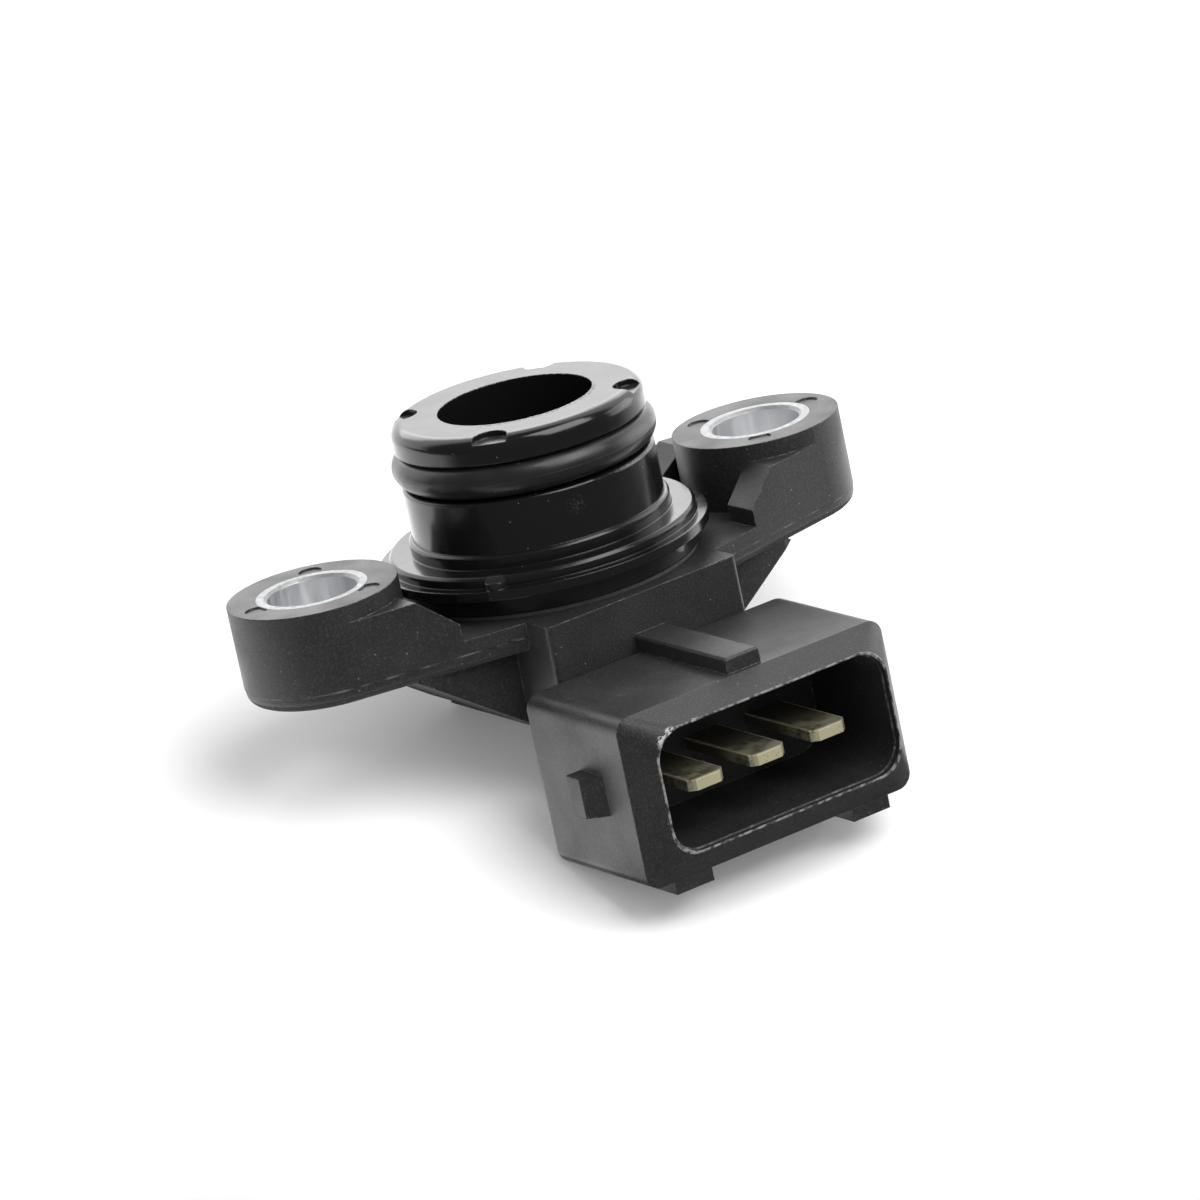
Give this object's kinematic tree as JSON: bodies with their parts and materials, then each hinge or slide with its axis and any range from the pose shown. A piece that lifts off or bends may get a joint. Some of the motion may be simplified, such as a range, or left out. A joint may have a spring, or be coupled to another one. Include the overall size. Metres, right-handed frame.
{
  "type": "manifold absolute pressure sensor",
  "caption": "Bolt-on intake pressure sensor: eared plastic housing with a round sealed pressure port and a keyed plug socket with flat terminals.",
  "frame": {"origin": "on the pressure port's axis, in the plane of the two ears' seating faces, midway between the bolt holes", "axes": "+Z out of the pressure port, +X along the line of the bolt holes, -Y out of the plug socket's mouth"},
  "size_m": [0.0484, 0.0364, 0.0289],
  "materials": {
    "housing_plastic": "fine satin moulding texture",
    "port_plastic": "smooth gloss",
    "seal_rubber": "semi-gloss",
    "adhesive": "cured sealant",
    "bushing_metal": "turned, bright",
    "terminal_brass": "stamped, pale",
    "package_plastic": "moulding compound",
    "lead_metal": "tinned",
    "base_glass": "ground glass",
    "die_silicon": "polished silicon",
    "gel": "clear soft gel"
  },
  "bodies": {
    "root": {"housing": "housing_plastic", "pressure_port": "port_plastic", "o_ring": "seal_rubber", "port_adhesive": "adhesive", "left_bushing": "bushing_metal", "right_bushing": "bushing_metal", "supply_terminal": "terminal_brass", "signal_terminal": "terminal_brass", "ground_terminal": "terminal_brass", "sensor_package": "package_plastic", "supply_lead": "lead_metal", "signal_lead": "lead_metal", "ground_lead": "lead_metal", "die_base": "base_glass", "sensor_die": "die_silicon", "protective_gel": "gel"}
  },
  "joints": []
}
